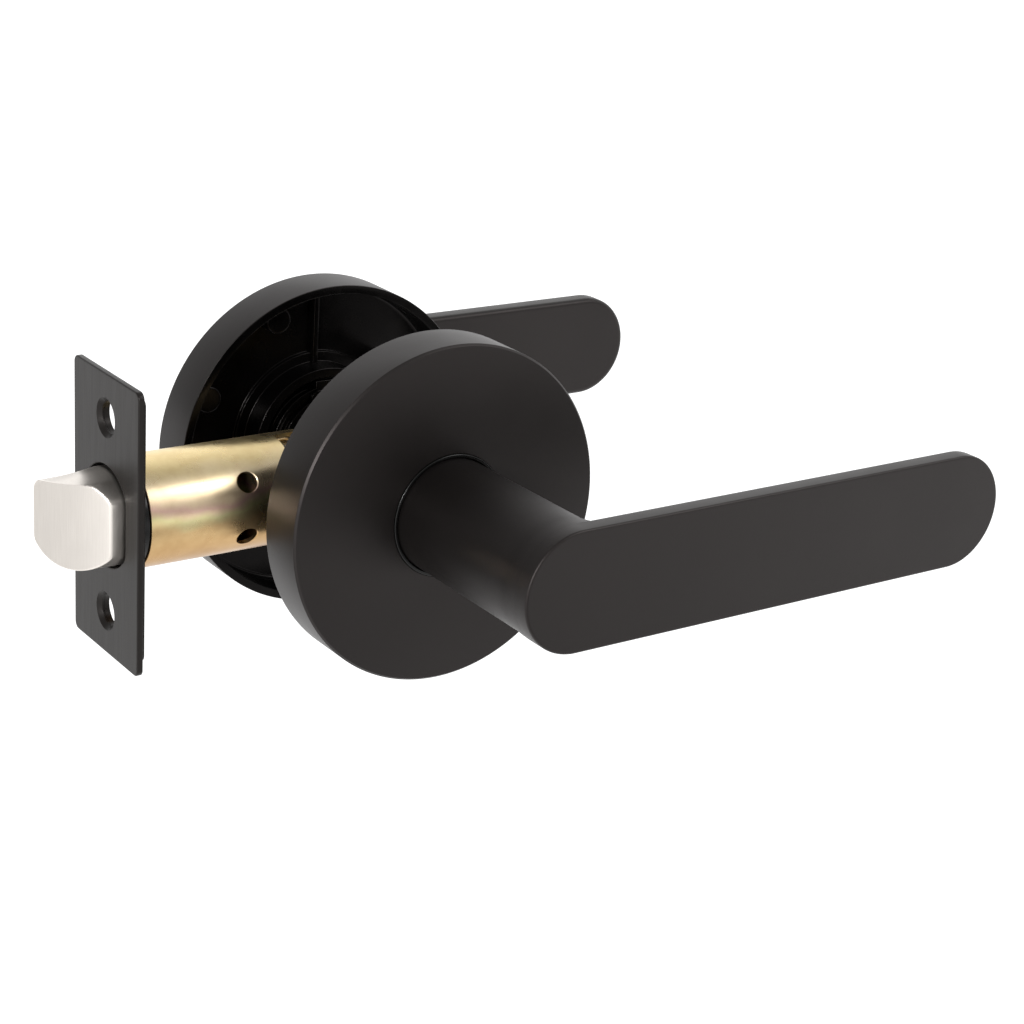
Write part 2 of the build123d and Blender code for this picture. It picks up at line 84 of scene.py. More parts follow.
def shell(points, loop_rows=False):
    """A (rows, columns, 3) grid as a closed shell whose faces point outwards.

    The signed volume is the sum over triangles of a . (b x c) / 6; if it is negative, the
    shell is inside out and its quads are reversed.
    """
    flat = points.reshape(-1, 3)
    quads = grid_quads(points.shape[0], points.shape[1], loop_rows)
    a, b, c, d = (flat[quads[:, k]] for k in range(4))
    volume = (a * np.cross(b, c)).sum() + (a * np.cross(c, d)).sum()
    return flat, quads if volume > 0 else quads[:, ::-1]


def mesh_from(name, shells, sharp=35.0):
    """One mesh from several shells: doubles merged, smooth except across edges over `sharp`."""
    points, quads, offset = [], [], 0
    for flat, faces in shells:
        points.append(flat)
        quads.append(faces + offset)
        offset += len(flat)
    mesh = bpy.data.meshes.new(name)
    mesh.from_pydata(np.concatenate(points).tolist(), [], np.concatenate(quads).tolist())
    tidy = bmesh.new()
    tidy.from_mesh(mesh)
    bmesh.ops.remove_doubles(tidy, verts=tidy.verts, dist=1e-7)
    tidy.to_mesh(mesh)
    tidy.free()
    mesh.shade_smooth()
    mesh.set_sharp_from_angle(angle=math.radians(sharp))
    return mesh


def place(name, mesh, body, slot, nodes, material):
    """Link a finished mesh as a piece that rides on a body and stands for CAD nodes."""
    piece = bpy.data.objects.new(name, mesh)
    bpy.context.scene.collection.objects.link(piece)
    piece.data.materials.append(material)
    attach(piece, body)
    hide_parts(*nodes)
    print(f"{name}: {len(mesh.vertices)} points, {len(mesh.polygons)} faces, on {body}")
    return piece


print("a ring of 4 rows by 8 columns has", len(grid_quads(4, 8)), "quads")

# %% [markdown]
# ## Profiles and outlines
# A turned piece is a profile of radius and distance, carried round the spindle or the latch.
# A flat piece is an outline carried through its thickness.  Real edges are never sharp, so
# both helpers break the edges with small arcs, which is what catches the light.

# %% Profiles and outlines
def rounded(corners, steps=6):
    """Closed profile through (u, v, radius) corners, each rounded by an arc.

    The arc leaves each side at t = radius / tan(half the corner angle) from the corner, and a
    quadratic blend of the two leaving points and the corner stands for it.
    """
    pts = np.array([c[:2] for c in corners], float)
    out = []
    for k, (u, v, radius) in enumerate(corners):
        here = pts[k]
        back, ahead = pts[k - 1] - here, pts[(k + 1) % len(pts)] - here
        back_len, ahead_len = np.linalg.norm(back), np.linalg.norm(ahead)
        if radius <= 0:
            out.append(here[None])
            continue
        half = 0.5 * math.acos(np.clip(back @ ahead / (back_len * ahead_len), -1, 1))
        cut = radius / math.tan(half)
        start, end = here + back / back_len * cut, here + ahead / ahead_len * cut
        centre_way = back / back_len + ahead / ahead_len
        centre = here + centre_way / np.linalg.norm(centre_way) * radius / math.sin(half)
        t = np.linspace(0, 1, steps)[:, None]
        chord = start * (1 - t) + end * t - centre
        out.append(centre + chord / np.linalg.norm(chord, axis=1, keepdims=True) * radius)
    return np.concatenate(out)


def turned(profile, count=192, axis="y", loop=True):
    """Surface of revolution: (r, d) becomes r cos a, r sin a round the axis and d along it."""
    angle = np.linspace(0, 2 * np.pi, count, endpoint=False)
    r, d = profile[:, :1], profile[:, 1:]
    along = np.broadcast_to(d, (len(profile), count))
    across, up = r * np.cos(angle), r * np.sin(angle)
    order = (across, along, up) if axis == "y" else (along, across, up)
    return shell(np.stack(order, -1) * MM, loop_rows=loop)


def slab(outline, low, high, low_round, high_round, axis="y", steps=5, core=None):
    """Outline carried from `low` to `high` with rounded edges and closed ends.

    `outline(inset)` gives the loop moved inwards by `inset`.  An edge of radius e insets by
    e (1 - cos f) while it rises by e (1 - sin f); each end closes on the outline's core.
    """
    f = np.linspace(0, np.pi / 2, steps)
    rows = [(low_round * (1 - np.sin(a)), low + low_round * (1 - np.cos(a))) for a in f]
    rows += [(high_round * (1 - np.cos(a)), high - high_round * (1 - np.sin(a))) for a in f]
    rows = [(core, low), (low_round + 0.3, low)] + rows + [(high_round + 0.3, high), (core, high)]
    loops = np.stack([outline(inset) for inset, _ in rows])
    depth = np.broadcast_to(np.array([d for _, d in rows])[:, None], loops.shape[:2])
    order = (loops[..., 0], depth, loops[..., 1])
    if axis == "x":
        order = (depth, loops[..., 0], loops[..., 1])
    return shell(np.stack(order, -1) * MM)


def pill(length, half, count=48):
    """Outline of a bar with round ends: points at radius half - inset round two centres."""
    end_angle = np.linspace(-np.pi / 2, np.pi / 2, count)

    def loop(inset):
        r = max(half - inset, 0.0)
        tip = np.stack([length + r * np.cos(end_angle), r * np.sin(end_angle)], -1)
        heel = np.stack([-r * np.cos(end_angle), -r * np.sin(end_angle)], -1)
        return np.concatenate([tip, heel])

    return loop


def disc(radius, centre=(0.0, 0.0), count=64):
    """Outline of a circle."""
    angle = np.linspace(0, 2 * np.pi, count, endpoint=False)

    def loop(inset):
        r = max(radius - inset, 0.0)
        return np.stack([centre[0] + r * np.cos(angle), centre[1] + r * np.sin(angle)], -1)

    return loop


def box_outline(half_width, half_height, corner, centre=(0.0, 0.0), count=9):
    """Outline of a rectangle with rounded corners; the corner radius shrinks with the inset."""
    quarter = np.linspace(0, np.pi / 2, count)

    def loop(inset):
        w, h = max(half_width - inset, 0.0), max(half_height - inset, 0.0)
        r = min(max(corner - inset, 0.0), w, h)
        parts = []
        for turn, (sx, sy) in enumerate(((1, 1), (-1, 1), (-1, -1), (1, -1))):
            a = quarter + turn * np.pi / 2
            parts.append(np.stack([sx * (w - r) + r * np.cos(a), sy * (h - r) + r * np.sin(a)], -1))
        return np.concatenate(parts) + np.array(centre)

    return loop


def carve(mesh, cutters):
    """Take closed cutter shells out of a mesh with an exact boolean, then keep the result."""
    body = bpy.data.objects.new("carve_body", mesh)
    tool = bpy.data.objects.new("carve_tool", mesh_from("carve_tool", cutters))
    for thing in (body, tool):
        bpy.context.scene.collection.objects.link(thing)
    modifier = body.modifiers.new("carve", "BOOLEAN")
    modifier.operation, modifier.solver, modifier.object = "DIFFERENCE", "EXACT", tool
    bpy.context.view_layer.update()
    evaluated = body.evaluated_get(bpy.context.evaluated_depsgraph_get())
    result = bpy.data.meshes.new_from_object(evaluated)
    for thing in (body, tool):
        bpy.data.objects.remove(thing)
    result.shade_smooth()
    result.set_sharp_from_angle(angle=math.radians(30))
    return result


print("a pill outline has", len(pill(80.0, 12.0)(0.0)), "points")

# %% [markdown]
# ## Finishes
# A real finish is never one flat value.  Its colour, roughness and surface all drift a little,
# and noise nodes are the plain way to make that.  This class keeps the node work short: each
# call adds one node, joins it up and hands back its output for the next call.

# %% Node helpers
class Finish:
    """A material with a Principled shader and short calls to add and join nodes."""

    def __init__(self, name):
        self.material = bpy.data.materials.new(name)
        self.material.use_nodes = True
        self.tree = self.material.node_tree
        self.shader = self.tree.nodes["Principled BSDF"]
        self.coords = self.tree.nodes.new("ShaderNodeTexCoord").outputs["Object"]

    def set(self, **values):
        """Plain values on the shader's own sockets; underscores stand for spaces."""
        for key, value in values.items():
            self.shader.inputs[key.replace("_", " ")].default_value = value

    def stretch(self, scale):
        """Object coordinates stretched by a different amount along each axis."""
        node = self.tree.nodes.new("ShaderNodeMapping")
        node.inputs["Scale"].default_value = scale
        self.tree.links.new(self.coords, node.inputs["Vector"])
        return node.outputs["Vector"]

    def noise(self, scale, detail=3.0, rough=0.5, vector=None):
        """Noise of about 0.3 to 0.7, in Object coordinates unless another vector is given."""
        node = self.tree.nodes.new("ShaderNodeTexNoise")
        node.inputs["Scale"].default_value = scale
        node.inputs["Detail"].default_value = detail
        node.inputs["Roughness"].default_value = rough
        self.tree.links.new(vector or self.coords, node.inputs["Vector"])
        return node.outputs["Fac"]

    def ramp(self, source, stops):
        """Colour ramp from a 0 to 1 source; stops are (position, (r, g, b))."""
        node = self.tree.nodes.new("ShaderNodeValToRGB")
        ramp = node.color_ramp
        while len(ramp.elements) < len(stops):
            ramp.elements.new(0.5)
        for element, (position, colour) in zip(ramp.elements, stops):
            element.position = position
            element.color = (*colour, 1.0)
        self.tree.links.new(source, node.inputs["Fac"])
        return node.outputs["Color"]

    def span(self, source, low, high, from_low=0.3, from_high=0.7):
        """Map a source range onto low to high."""
        node = self.tree.nodes.new("ShaderNodeMapRange")
        ends = {"From Min": from_low, "From Max": from_high, "To Min": low, "To Max": high}
        for key, value in ends.items():
            node.inputs[key].default_value = value
        self.tree.links.new(source, node.inputs["Value"])
        return node.outputs["Result"]

    def mix(self, factor, a, b, blend):
        """Blend two colour outputs by a plain factor."""
        node = self.tree.nodes.new("ShaderNodeMix")
        node.data_type, node.blend_type = "RGBA", blend
        node.inputs["Factor"].default_value = factor
        self.tree.links.new(a, node.inputs[6])
        self.tree.links.new(b, node.inputs[7])
        return node.outputs[2]

    def bump(self, height, strength, distance, under=None):
        """Bump from a height output, laid over another bump when one is given."""
        node = self.tree.nodes.new("ShaderNodeBump")
        node.inputs["Strength"].default_value = strength
        node.inputs["Distance"].default_value = distance
        self.tree.links.new(height, node.inputs["Height"])
        if under:
            self.tree.links.new(under, node.inputs["Normal"])
        return node.outputs["Normal"]

    def join(self, output, key):
        """Feed an output into one of the shader's sockets."""
        self.tree.links.new(output, self.shader.inputs[key])


print("Finish can", [name for name in vars(Finish) if not name.startswith("_")])

# %% [markdown]
# The levers and roses have a matte black powder coat: a dark warm grey with a very fine
# grain that scatters the light.  A bump from fine noise gives the grain, and a slow noise
# moves the colour and roughness a little, because no coat is perfectly even.  Inside the cups
# the coat is made many times darker, as painted shade.  The other black parts differ in
# their gloss: plating, moulded plastic and oxide steel.

# %% Black finishes
def powder_coat():
    """Matte coat on levers and roses: fine grain over a slow drift."""
    f = Finish("matte black powder coat")
    f.set(Metallic=0.0, IOR=1.40, Specular_Tint=(1.0, 0.90, 0.88, 1.0))
    cloud = f.noise(28.0, 3.0)
    shades = [(0.3, (0.0042, 0.0036, 0.0034)), (0.7, (0.0058, 0.0050, 0.0047))]
    f.join(f.ramp(cloud, shades), "Base Color")
    f.join(f.span(f.noise(60.0, 2.0), 0.40, 0.46), "Roughness")
    grain = f.bump(f.noise(5200.0, 2.0, 0.6), 0.22, 0.00004)
    f.join(f.bump(f.noise(900.0, 2.0), 0.10, 0.00008, grain), "Normal")
    return f.material


def cup_painted_shade():
    """Much darker, smoother black on the inner faces of the roses: painted shade inside the cup."""
    f = Finish("painted shade inside the cup")
    f.set(Metallic=0.0, IOR=1.3, Specular_IOR_Level=0.32, Specular_Tint=(1.0, 0.92, 0.90, 1.0))
    # Base colour many times darker than the coat outside: painted shade inside the cup.
    shades = [(0.3, (0.0004, 0.0004, 0.0004)), (0.7, (0.0010, 0.0009, 0.0009))]
    f.join(f.ramp(f.noise(60.0), shades), "Base Color")
    f.join(f.span(f.noise(200.0), 0.20, 0.30), "Roughness")
    f.join(f.bump(f.noise(1800.0), 0.05, 0.00004), "Normal")
    return f.material


def plate_black():
    """Satin plating with faint upright streaks, from noise stretched along Z."""
    f = Finish("satin black plating")
    f.set(Metallic=0.0, IOR=1.42, Specular_IOR_Level=0.34, Specular_Tint=(1.0, 0.94, 0.91, 1.0))
    streak = f.noise(2200.0, 2.0, 0.5, f.stretch((1.0, 1.0, 0.04)))
    shades = [(0.3, (0.0055, 0.0046, 0.0041)), (0.7, (0.0075, 0.0063, 0.0057))]
    f.join(f.ramp(f.noise(35.0), shades), "Base Color")
    f.join(f.span(streak, 0.36, 0.42), "Roughness")
    f.join(f.bump(f.noise(2600.0, 2.0), 0.15, 0.00005), "Normal")
    return f.material


def black_plastic():
    """Moulded plastic, a little glossier than the coat."""
    f = Finish("black moulded plastic")
    f.set(IOR=1.38)
    shades = [(0.3, (0.0012, 0.0012, 0.0012)), (0.7, (0.0022, 0.0021, 0.0020))]
    f.join(f.ramp(f.noise(90.0), shades), "Base Color")
    f.join(f.span(f.noise(220.0), 0.22, 0.32), "Roughness")
    f.join(f.bump(f.noise(1800.0), 0.06, 0.00005), "Normal")
    return f.material


def black_steel():
    """Oxide-black steel: a metal whose reflection is very dark."""
    f = Finish("black oxide steel")
    f.set(Metallic=1.0)
    shades = [(0.3, (0.012, 0.011, 0.0105)), (0.7, (0.026, 0.024, 0.023))]
    f.join(f.ramp(f.noise(120.0), shades), "Base Color")
    f.join(f.span(f.noise(300.0), 0.20, 0.34), "Roughness")
    f.join(f.bump(f.noise(2400.0), 0.08, 0.00005), "Normal")
    return f.material


print("black finishes: coat, cup, plate, plastic and steel")

# %% [markdown]
# The latch tube is steel with yellow zinc on it.  The plating is a thin film, so its colour
# drifts from cream to pink and green as its thickness changes.  The height on the tube picks
# the colour from a ramp: its cream, pink and green tints stand for the plating, and its darker
# brown towards the underside is painted shade.  A slow noise makes the bands wander, and a
# finer noise puts faint stains on top.

# %% Yellow zinc
def yellow_zinc():
    """Yellow zinc plating: height on the tube plus a drift picks the colour from a ramp of tints,
    with painted shade darkening the underside.
    """
    f = Finish("yellow zinc plating")
    f.set(Metallic=1.0)
    height = f.tree.nodes.new("ShaderNodeSeparateXYZ")
    f.tree.links.new(f.coords, height.inputs[0])
    level = f.span(height.outputs["Z"], 0.0, 1.0, -0.0111, 0.0111)
    drift = f.span(f.noise(70.0, 3.0, 0.55, f.stretch((0.7, 1.0, 1.0))), -0.10, 0.10)
    tint = f.tree.nodes.new("ShaderNodeMath")
    f.tree.links.new(level, tint.inputs[0])
    f.tree.links.new(drift, tint.inputs[1])
    # Ramp by height: the plating's tints, and painted shade that darkens the underside most and the
    # very top a little.
    film_tint_and_painted_shade = f.ramp(
        tint.outputs[0],
        [
            (0.04, (0.36, 0.21, 0.09)),
            (0.27, (0.52, 0.34, 0.16)),
            (0.45, (0.74, 0.52, 0.26)),
            (0.55, (0.80, 0.72, 0.38)),
            (0.65, (0.86, 0.58, 0.47)),
            (0.72, (0.90, 0.71, 0.48)),
            (0.84, (0.92, 0.76, 0.50)),
            (0.97, (0.80, 0.64, 0.34)),
        ],
    )
    stain = f.ramp(f.noise(420.0, 4.0, 0.6), [(0.35, (0.92, 0.89, 0.86)), (0.6, (1.0, 1.0, 1.0))])
    f.join(f.mix(0.8, film_tint_and_painted_shade, stain, "MULTIPLY"), "Base Color")
    f.join(f.span(f.noise(180.0, 3.0), 0.25, 0.33), "Roughness")
    peel = f.bump(f.noise(1300.0, 2.0), 0.12, 0.00006)
    f.join(f.bump(f.noise(4200.0, 2.0), 0.10, 0.00003, peel), "Normal")
    return f.material


print("yellow zinc is tinted from Z -11.1 to 11.1 mm")

# %% [markdown]
# The bolt is satin nickel, rubbed in one direction, so its grain is fine lines rather than
# dots.  Noise stretched a long way along one axis makes such lines.  Plain zinc steel inside
# the latch gets the same idea with a softer, rounder grain.

# %% Nickel and steel
def satin_nickel():
    """Nickel rubbed one way: the same stretched noise drives colour and bump."""
    f = Finish("satin nickel")
    f.set(Metallic=1.0)
    lines = f.noise(3200.0, 3.0, 0.6, f.stretch((1.0, 1.0, 0.05)))
    f.join(f.ramp(lines, [(0.3, (0.73, 0.685, 0.635)), (0.7, (0.78, 0.735, 0.685))]), "Base Color")
    f.join(f.span(f.noise(160.0, 3.0), 0.28, 0.36), "Roughness")
    f.join(f.bump(lines, 0.08, 0.00003), "Normal")
    return f.material


def plain_steel(name, low, high, rough):
    """Steel whose colour wanders between two greys, with a soft round grain."""
    f = Finish(name)
    f.set(Metallic=1.0)
    f.join(f.ramp(f.noise(140.0, 4.0), [(0.3, low), (0.7, high)]), "Base Color")
    f.join(f.span(f.noise(320.0, 3.0), rough, rough + 0.14), "Roughness")
    f.join(f.bump(f.noise(2200.0, 2.0), 0.12, 0.00005), "Normal")
    return f.material


finishes = {
    "black_coat": powder_coat(),
    "cup": cup_painted_shade(),
    "black_plate": plate_black(),
    "black_plastic": black_plastic(),
    "black_steel": black_steel(),
    "yellow_zinc": yellow_zinc(),
    "satin_nickel": satin_nickel(),
    "plain_steel": plain_steel("bright zinc steel", (0.42, 0.42, 0.41), (0.58, 0.57, 0.55), 0.28),
    "spring_steel": plain_steel("spring wire", (0.24, 0.23, 0.22), (0.38, 0.36, 0.34), 0.26),
}
slot_of = {row["node"]: row["material_slot"] for row in frame["record"]["subparts"]}
body_of = {n: b for b, group in frame["record"]["behaviour"]["bodies"].items() for n in group}
print("finishes", sorted(finishes))

# %% [markdown]
# ## Piece helpers
# Each finished piece stands for one CAD node: it takes its body from that node's row in the
# record, and its finish by the node's slot there.  Holes are cut by closed tools, and the parts
# that are already right in the CAD model are copied, so that the node's own mesh stays as it is.

# %% Piece helpers
def joined(name, meshes):
    """One mesh holding several finished meshes side by side."""
    pot = bmesh.new()
    for mesh in meshes:
        pot.from_mesh(mesh)
    whole = bpy.data.meshes.new(name)
    pot.to_mesh(whole)
    pot.free()
    whole.shade_smooth()
    whole.set_sharp_from_angle(angle=math.radians(35))
    return whole


def piece_for(node, *meshes, body=None):
    """Make a piece that takes its body from the CAD node it stands for, and its finish by that
    node's slot.
    """
    slot = slot_of[node]
    mesh = joined(node + "_piece", meshes)
    return place(node + "_piece", mesh, body or body_of[node], slot, [node], finishes[slot])


def cutter(outline, low, high, axis="y", flare=0.12):
    """Closed tool that goes right through from `low` to `high` and breaks both rims by `flare`.

    Beyond each face it keeps widening at 45 degrees, so the rim is left with a small chamfer.
    """
    past = 0.5
    rows = [(-flare - past, low - past), (0.0, low + flare)]
    rows += [(0.0, high - flare), (-flare - past, high + past)]
    loops = np.stack([outline(inset) for inset, _ in rows])
    middle = loops.mean(axis=1, keepdims=True)
    first, last = (np.broadcast_to(m, loops[:1].shape) for m in (middle[:1], middle[-1:]))
    loops = np.concatenate([first, loops, last])
    heights = np.array([rows[0][1]] + [d for _, d in rows] + [rows[-1][1]])
    depth = np.broadcast_to(heights[:, None], loops.shape[:2])
    order = {"y": (0, 2, 1), "x": (2, 0, 1), "z": (0, 1, 2)}[axis]
    stack = (loops[..., 0], loops[..., 1], depth)
    return shell(np.stack([stack[k] for k in order], -1) * MM)


def welded(node, edge):
    """Copy of a CAD node with its corners merged, flat faces joined and edges slightly broken."""
    source = frame["nodes"][node]
    mesh = source.data.copy()
    mesh.name = node + "_weld"
    tidy = bmesh.new()
    tidy.from_mesh(mesh)
    bmesh.ops.remove_doubles(tidy, verts=tidy.verts, dist=2e-6)
    bmesh.ops.dissolve_limit(tidy, angle_limit=math.radians(1), verts=tidy.verts, edges=tidy.edges)
    tidy.to_mesh(mesh)
    tidy.free()
    holder = bpy.data.objects.new("weld_holder", mesh)
    holder.matrix_world = source.matrix_world
    bpy.context.scene.collection.objects.link(holder)
    if edge:
        bevel = holder.modifiers.new("edge", "BEVEL")
        bevel.width, bevel.segments, bevel.limit_method = edge * MM, 2, "ANGLE"
        bevel.angle_limit = math.radians(40)
    bpy.context.view_layer.update()
    evaluated = holder.evaluated_get(bpy.context.evaluated_depsgraph_get())
    result = bpy.data.meshes.new_from_object(evaluated)
    bpy.data.objects.remove(holder)
    result.shade_smooth()
    result.set_sharp_from_angle(angle=math.radians(30))
    return result


print(len(body_of), "nodes to stand for")

# %% [markdown]
# ## Sizes from the frame
# The rose's radius, seat and face below are read from the box of a CAD node.  The wall, floor,
# hub ring, step, bush and post spots are given as numbers here, and so are the small edge
# breaks, which the CAD leaves plain.

# %% Read sizes
def span_of(node):
    """Low and high corner of a CAD node in millimetres."""
    low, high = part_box(node)
    return np.array(low) / MM, np.array(high) / MM


sides = {"outside": -1.0, "inside": 1.0}
rose_low, rose_high = span_of("outside_rose")
rose_radius = (rose_high[0] - rose_low[0]) / 2
seat, face = -rose_high[1], -rose_low[1]
rose_wall, rose_floor = 1.8, face - 2.0
ring_outer, ring_inner, ring_top = 16.4, 14.3, rose_floor - 6.0
step_radius, step_top = 18.6, rose_floor - 0.8
barrel_radius, flange_radius = 12.75, 14.1
post_spots = ((16.0, 14.8), (-16.0, -14.8))
print("rose radius", rose_radius, "seat", seat, "face", face)

# %% [markdown]
# ## Roses
# A rose is a shallow cup that hides the hole in the door.  It is turned from one profile: the
# outer wall, a small broken edge, the flat face, the bore, and on the open side the floor
# with its low step and hub ring.  Two ribs and four round pads are added as their own closed
# shells, sunk a little into the floor and wall.

# %% Make the roses
rib_half_width, rib_height, sunk = 0.65, 1.5, 0.3
pad_ring, pad_radius, pad_height = 29.9, 2.8, 5.2
pad_angles, screw_hole_radius = (112, 155, 292, 335), 2.3


def rose_shells(side):
    """Turned disc first, then two ribs and four pads as closed shells of their own."""
    profile = rounded(
        [
            (barrel_radius + 0.02, face, 0.15),
            (rose_radius - 0.42, face, 0.1),
            (rose_radius, face - 0.42, 0.1),
            (rose_radius, seat, 0.2),
            (rose_radius - rose_wall, seat, 0.2),
            (rose_radius - rose_wall, rose_floor, 0.8),
            (step_radius, rose_floor, 0.25),
            (step_radius, step_top, 0.2),
            (ring_outer, step_top, 0.25),
            (ring_outer, ring_top, 0.2),
            (ring_inner, ring_top, 0.2),
            (ring_inner, rose_floor, 0.15),
            (barrel_radius + 0.02, rose_floor, 0.0),
        ]
    )
    profile[:, 1] *= side
    shells = [turned(profile, 256)]
    rib_middle = (rose_radius - rose_wall + ring_outer) / 2
    rib_half = (rose_radius - rose_wall - ring_outer) / 2 + 0.5
    for way in (1, -1):
        rib = box_outline(rib_half_width, rib_half, 0.2, (0.0, way * rib_middle))
        ends = sorted((side * (rose_floor + sunk), side * (rose_floor - rib_height)))
        rounds = (0.02, 0.3) if side < 0 else (0.3, 0.02)
        shells.append(slab(rib, *ends, *rounds, core=rib_half_width - 0.01))
    for degrees in pad_angles:
        angle = math.radians(degrees)
        pad = disc(pad_radius, (pad_ring * math.cos(angle), pad_ring * math.sin(angle)), 40)
        ends = sorted((side * (rose_floor + sunk), side * (rose_floor - pad_height)))
        rounds = (0.02, 0.35) if side < 0 else (0.35, 0.02)
        shells.append(slab(pad, *ends, *rounds, core=pad_radius - 0.01))
    return shells


for name, side in sides.items():
    turned_disc, *raised = rose_shells(side)
    disc_mesh = mesh_from("rose", [turned_disc])
    if side > 0:
        tools = [cutter(disc(screw_hole_radius, spot, 32), rose_floor, face) for spot in post_spots]
        disc_mesh = carve(disc_mesh, tools)
    rose = piece_for(name + "_rose", disc_mesh, mesh_from("ribs", raised))
    # Second material: the much darker black of painted shade inside the cup.
    rose.data.materials.append(finishes["cup"])
    centres = np.zeros(len(rose.data.polygons) * 3)
    rose.data.polygons.foreach_get("center", centres)
    centres = centres.reshape(-1, 3) / MM
    out, up = np.hypot(centres[:, 0], centres[:, 2]), centres[:, 1] * side
    # Faces inside the cup and the seat rim take the painted shade.
    inside = (out < rose_radius - rose_wall + 0.15) & (up < rose_floor + 0.1)
    inside |= (up < seat + 0.02) & (out < rose_radius - 0.1)
    rose.data.polygons.foreach_set("material_index", inside.astype(np.int32))

# %% [markdown]
# ## Bushes
# The neck of each lever turns in a thin ring pressed through the rose.  On the face it shows
# as a fine bright-edged line with a dark gap inside it, so its edges are rounded too.

# %% Make the bushes
neck_radius, bush_gap, bush_proud, flange_thick = 12.0, 0.06, 0.3, 1.0
for name, side in sides.items():
    ring = rounded(
        [
            (neck_radius + bush_gap, face + bush_proud, 0.2),
            (barrel_radius, face + bush_proud, 0.2),
            (barrel_radius, rose_floor, 0.0),
            (flange_radius, rose_floor, 0.1),
            (flange_radius, rose_floor - flange_thick, 0.2),
            (neck_radius + bush_gap, rose_floor - flange_thick, 0.2),
        ]
    )
    ring[:, 1] *= side
    piece_for(name + "_bush", mesh_from("bush", [turned(ring, 192)]))

# %% [markdown]
# ## Levers
# The blade is a flat bar with round ends.  Its front edge is only just broken, and its back
# edge is softer where fingers go round it.  The neck is a turned bar that sweeps out into the
# back of the blade.  The sweep would stand out past the bar's edge near the round end, so the
# neck's radius is held inside the bar's outline, angle by angle: that gives the flush round
# end and the hollow curve on the grip side.  On that side it is tucked in a little more, so
# that it ends behind the blade's rounded back edge.  The blade and neck overlap inside, so no
# gap can open between them.

# %% Make the levers
blade_half = 12.25
blade_thick = 4.5
sweep = 5.0
journal_radius, journal_end, shoulder = 9.0, 18.1, 25.5
groove_near, groove_far, groove_deep = 18.48, 19.32, 0.7
front_round, back_round, tuck_in, around = 0.5, 1.2, 1.35, 256


def lever_shells(node, side):
    """Blade and neck of a lever, as two closed shells that overlap.

    The neck's radius at each angle grows from neck_radius by `grow` over the sweep.  A small
    growth follows s squared times (3 - 2 s), and a large one a quarter circle.
    """
    low, high = span_of(node)
    front = high[1] if side > 0 else -low[1]
    back = front - blade_thick
    length = high[0] - blade_half
    outline = pill(length, blade_half)
    ends = sorted((side * front, side * back))
    rounds = (front_round, back_round) if side < 0 else (back_round, front_round)
    blade = slab(outline, *ends, *rounds, steps=7, core=blade_half)
    rise = np.linspace(0, 1, 20)
    steep = np.concatenate([np.zeros(1), 1 - np.sqrt(1 - rise**2), np.ones(6)])[:, None]
    gentle = np.concatenate([np.zeros(1), rise * rise * (3 - 2 * rise), np.ones(6)])[:, None]
    past = np.linspace(0, 1.6, 6)
    along_neck = np.concatenate([[back - sweep - 1.0], back - sweep + sweep * rise, back + past])
    inner = rounded(
        [
            (journal_radius, groove_near, 0.0),
            (journal_radius - groove_deep, groove_near, 0.0),
            (journal_radius - groove_deep, groove_far, 0.0),
            (journal_radius, groove_far, 0.0),
            (journal_radius, shoulder, 0.1),
            (neck_radius, shoulder, 0.3),
        ]
    )
    broken = (journal_radius - 0.5, journal_end), (journal_radius, journal_end + 0.3)
    start = np.array([(0.0, journal_end), *broken])
    profile = np.concatenate([start, inner])
    angle = np.linspace(0, 2 * np.pi, around, endpoint=False)
    edge = blade_half - 0.01
    away = np.clip(np.cos(angle) / 0.7, 0.0, 1.0)
    tuck = edge - tuck_in * away * away * (3 - 2 * away)
    limit = np.where(np.cos(angle) < 0, edge, tuck / np.maximum(np.abs(np.sin(angle)), 1e-3))
    grow = np.clip(limit - neck_radius, 0.0, sweep)
    bold = np.clip(grow / 3.0, 0, 1)
    share = gentle * (1 - bold) + steep * bold
    swept = neck_radius + grow * share
    plain = np.broadcast_to(profile[:, :1], (len(profile), around))
    closing = np.zeros((1, around))
    radius = np.concatenate([plain, swept, closing])
    depth = np.concatenate([profile[:, 1], along_neck, along_neck[-1:]])
    along = np.broadcast_to(side * depth[:, None], radius.shape)
    neck = shell(np.stack([radius * np.cos(angle), along, radius * np.sin(angle)], -1) * MM)
    return [blade, neck]


screw_place, tapped_radius, socket_half, socket_depth = 32.4, 2.0, 3.31, 17.0
for name, side in sides.items():
    blade, neck = lever_shells(name + "_lever", side)
    tapped = cutter(disc(tapped_radius, (0.0, side * screw_place), 32), -12.0, -1.0, axis="z")
    socket = box_outline(socket_half, socket_half, 0.05)
    ends = sorted((side * (journal_end - 0.01), side * (journal_end + socket_depth)))
    square = slab(socket, *ends, 0.02, 0.02, core=socket_half)
    neck_mesh = carve(carve(mesh_from("neck", [neck]), [tapped]), [square])
    piece_for(name + "_lever", mesh_from("blade", [blade]), neck_mesh)

# %% [markdown]
# ## Latch plate
# The plate in the door's edge is a pressed strip with almost square corners, two countersunk
# screw holes and an opening for the bolt.  A plain backing plate lies behind it.  The holes
# are cut by tools that widen past each face, which leaves a small broken rim.

# %% Make the plates
plate_low, plate_high = span_of("faceplate")
back_low, back_high = span_of("backing_plate")
bolt_low, bolt_high = span_of("bolt")
bolt_radius = (bolt_high[2] - bolt_low[2]) / 2
bolt_flat = (bolt_high[1] - bolt_low[1]) / 2
hole_radius, sink_radius, hole_place = 3.15, 3.9, 19.8


